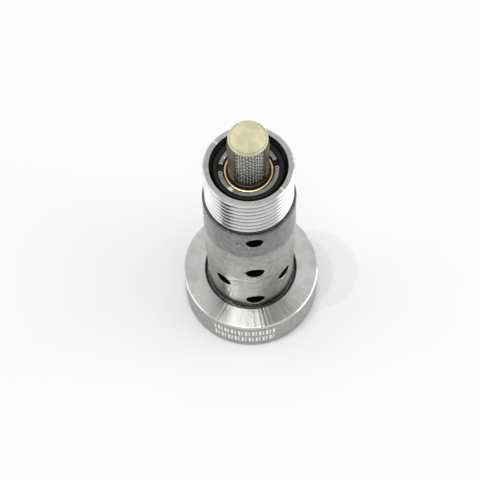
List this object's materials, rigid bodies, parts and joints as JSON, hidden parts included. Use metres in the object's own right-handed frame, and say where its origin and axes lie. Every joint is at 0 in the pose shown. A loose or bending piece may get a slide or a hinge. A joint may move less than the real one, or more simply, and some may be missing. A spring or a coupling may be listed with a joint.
{
  "type": "screw-in camshaft adjuster oil control valve",
  "caption": "Threaded hollow valve bolt with a round head, radial oil ports, a sprung spool, a ball check valve and a mesh inlet filter.",
  "frame": {"origin": "centre of the head's outer face, which is the lowest face when the valve stands on its head", "axes": "+Z along the valve's axis, from the head through the thread to the filter's cap; one port of each straight row faces -Y"},
  "size_m": [0.03, 0.03, 0.0689],
  "materials": {
    "bolt_steel": "turned",
    "hard_steel": "ground",
    "spring_steel": "drawn wire",
    "sleeve_aluminium": "machined",
    "ball_steel": "polished",
    "black_plastic": "moulded",
    "seal_rubber": "moulded",
    "keeper_steel": "stamped",
    "collar_brass": "turned",
    "filter_plastic": "moulded, slightly translucent",
    "mesh_wire": "woven wire"
  },
  "bodies": {
    "valve": {"valve_bolt": "bolt_steel", "stop_washer": "hard_steel", "stop_ring": "spring_steel", "port_sleeve": "sleeve_aluminium", "spring_plug": "hard_steel", "return_spring": "spring_steel", "check_cage": "hard_steel", "check_spring": "spring_steel", "check_seat": "hard_steel", "filter_holder": "black_plastic", "holder_seal": "seal_rubber", "front_keeper": "keeper_steel", "back_keeper": "keeper_steel", "brass_collar": "collar_brass", "filter_cage": "filter_plastic", "filter_mesh": "mesh_wire"},
    "spool": {"spool": "hard_steel", "spool_nose": "hard_steel"},
    "ball": {"check_ball": "ball_steel"}
  },
  "joints": [
    {"name": "spool_slide", "type": "slide", "parent": "valve", "child": "spool", "axis": [0, 0, 1], "range_m": [0, 0.003], "stiffness_N_per_m": 1500, "springref_m": -0.004, "deforming": ["return_spring"]},
    {"name": "ball_lift", "type": "slide", "parent": "valve", "child": "ball", "axis": [0, 0, -1], "range_m": [0, 0.001], "stiffness_N_per_m": 150, "springref_m": -0.001, "deforming": ["check_spring"]}
  ]
}
